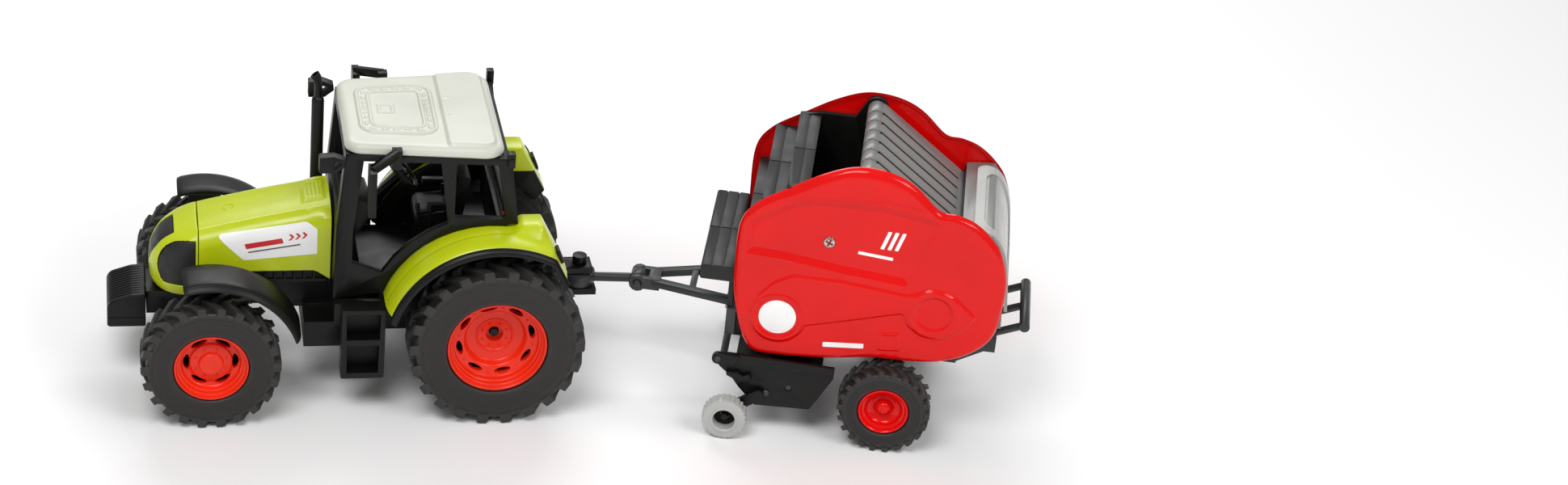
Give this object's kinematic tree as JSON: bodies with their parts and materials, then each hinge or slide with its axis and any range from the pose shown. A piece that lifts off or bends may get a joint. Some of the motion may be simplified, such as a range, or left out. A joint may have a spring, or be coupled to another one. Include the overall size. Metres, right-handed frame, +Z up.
{
  "type": "toy tractor",
  "caption": "Plastic toy farm tractor with open cab and rocking front axle, hitched to a toy round baler with an opening rear gate.",
  "frame": {"origin": "centre of the bounding box, at the level of the ground the wheels stand on", "axes": "+Z up; the tractor lies along X with its nose towards -X and its left side towards -Y; the baler trails behind it towards +X, turned 16.35 degrees about the hitch pin towards -Y"},
  "size_m": [0.4494, 0.1634, 0.1473],
  "materials": {
    "lime_plastic": "moulded lime-green plastic, satin gloss",
    "black_plastic": "moulded black plastic, satin",
    "white_plastic": "moulded off-white plastic, satin",
    "tyre_rubber": "soft black vinyl with chevron lugs",
    "orange_plastic": "moulded red-orange plastic",
    "red_plastic": "glossy red plastic",
    "grey_plastic": "moulded mid-grey plastic, satin",
    "light_grey_plastic": "moulded light-grey plastic, satin",
    "steel_axle": "plain steel rod"
  },
  "bodies": {
    "tractor": {"chassis": "black_plastic", "axle_pivot_pin": "steel_axle", "front_weight": "black_plastic", "hood": "lime_plastic", "nose_cowl": "lime_plastic", "grille_front": "black_plastic", "grille_left": "black_plastic", "grille_right": "black_plastic", "exhaust_pipe": "black_plastic", "cab_frame": "black_plastic", "cab_floor": "black_plastic", "dashboard": "black_plastic", "seat": "black_plastic", "roof": "white_plastic", "front_lamp_left": "black_plastic", "front_lamp_right": "black_plastic", "rear_lamp_left": "black_plastic", "rear_lamp_right": "black_plastic", "mirror_left": "black_plastic", "mirror_right": "black_plastic", "step_left": "black_plastic", "step_right": "black_plastic", "rear_fender_left": "lime_plastic", "rear_fender_right": "lime_plastic", "fender_lip_left": "black_plastic", "fender_lip_right": "black_plastic", "rear_axle": "steel_axle", "hitch_pin": "black_plastic"},
    "front_axle": {"front_axle": "black_plastic", "front_fender_left": "black_plastic", "front_fender_right": "black_plastic"},
    "front_wheel_left": {"front_tyre_left": "tyre_rubber", "front_rim_left": "orange_plastic"},
    "front_wheel_right": {"front_tyre_right": "tyre_rubber", "front_rim_right": "orange_plastic"},
    "rear_wheel_left": {"rear_tyre_left": "tyre_rubber", "rear_rim_left": "orange_plastic"},
    "rear_wheel_right": {"rear_tyre_right": "tyre_rubber", "rear_rim_right": "orange_plastic"},
    "steering_wheel": {"steering_wheel": "black_plastic"},
    "drawbar": {"drawbar_eye": "grey_plastic"},
    "baler": {"knuckle_pin": "grey_plastic", "baler_frame": "grey_plastic", "baler_axle": "steel_axle", "bale_chamber": "black_plastic", "gate_hinge_rod": "grey_plastic", "front_cover": "black_plastic", "panel_left": "red_plastic", "panel_right": "red_plastic", "pickup_housing": "black_plastic"},
    "gate": {"gate": "grey_plastic", "gate_window": "light_grey_plastic"},
    "pickup_reel": {"pickup_reel": "grey_plastic"},
    "gauge_arm": {"gauge_arm": "black_plastic"},
    "gauge_wheel_left": {"gauge_wheel_left": "light_grey_plastic"},
    "gauge_wheel_right": {"gauge_wheel_right": "light_grey_plastic"},
    "baler_wheel_left": {"baler_tyre_left": "tyre_rubber", "baler_rim_left": "red_plastic"},
    "baler_wheel_right": {"baler_tyre_right": "tyre_rubber", "baler_rim_right": "red_plastic"}
  },
  "joints": [
    {"name": "front_axle_rock", "type": "hinge", "parent": "tractor", "child": "front_axle", "pos_m": [-0.17728, 0.02026, 0.0327], "axis": [1, 0, 0], "range_deg": [-7, 7]},
    {"name": "front_wheel_left_spin", "type": "hinge", "parent": "front_axle", "child": "front_wheel_left", "pos_m": [-0.17728, -0.02774, 0.0327], "axis": [0, 1, 0], "continuous": true},
    {"name": "front_wheel_right_spin", "type": "hinge", "parent": "front_axle", "child": "front_wheel_right", "pos_m": [-0.17728, 0.06826, 0.0327], "axis": [0, 1, 0], "continuous": true},
    {"name": "rear_wheel_left_spin", "type": "hinge", "parent": "tractor", "child": "rear_wheel_left", "pos_m": [-0.04328, -0.02974, 0.0422], "axis": [0, 1, 0], "continuous": true},
    {"name": "rear_wheel_right_spin", "type": "hinge", "parent": "tractor", "child": "rear_wheel_right", "pos_m": [-0.04328, 0.07026, 0.0422], "axis": [0, 1, 0], "continuous": true},
    {"name": "steering_wheel_spin", "type": "hinge", "parent": "tractor", "child": "steering_wheel", "pos_m": [-0.08528, 0.02026, 0.106], "axis": [0.7071, 0, 0.7071], "continuous": true},
    {"name": "hitch_yaw", "type": "hinge", "parent": "tractor", "child": "drawbar", "pos_m": [0.00379, 0.02026, 0.047], "axis": [0, 0, 1], "range_deg": [-38.65, 71.35]},
    {"name": "drawbar_pitch", "type": "hinge", "parent": "drawbar", "child": "baler", "pos_m": [0.03258, 0.01181, 0.05], "axis": [0.2815, 0.9596, 0], "range_deg": [-8, 8]},
    {"name": "gate_open", "type": "hinge", "parent": "baler", "child": "gate", "pos_m": [0.13496, -0.01822, 0.1404], "axis": [-0.2815, -0.9596, 0], "range_deg": [0, 65]},
    {"name": "pickup_reel_spin", "type": "hinge", "parent": "baler", "child": "pickup_reel", "pos_m": [0.1103, -0.01099, 0.0265], "axis": [0.2815, 0.9596, 0], "continuous": true},
    {"name": "gauge_arm_swing", "type": "hinge", "parent": "baler", "child": "gauge_arm", "pos_m": [0.09677, -0.00702, 0.0217], "axis": [0.2815, 0.9596, 0], "range_deg": [0, 20]},
    {"name": "gauge_wheel_left_spin", "type": "hinge", "parent": "gauge_arm", "child": "gauge_wheel_left", "pos_m": [0.06677, -0.05637, 0.0111], "axis": [0.2815, 0.9596, 0], "continuous": true},
    {"name": "gauge_wheel_right_spin", "type": "hinge", "parent": "gauge_arm", "child": "gauge_wheel_right", "pos_m": [0.09818, 0.05072, 0.0111], "axis": [0.2815, 0.9596, 0], "continuous": true},
    {"name": "baler_wheel_left_spin", "type": "hinge", "parent": "baler", "child": "baler_wheel_left", "pos_m": [0.14273, -0.0674, 0.0226], "axis": [0.2815, 0.9596, 0], "continuous": true},
    {"name": "baler_wheel_right_spin", "type": "hinge", "parent": "baler", "child": "baler_wheel_right", "pos_m": [0.16807, 0.01896, 0.0226], "axis": [0.2815, 0.9596, 0], "continuous": true}
  ]
}
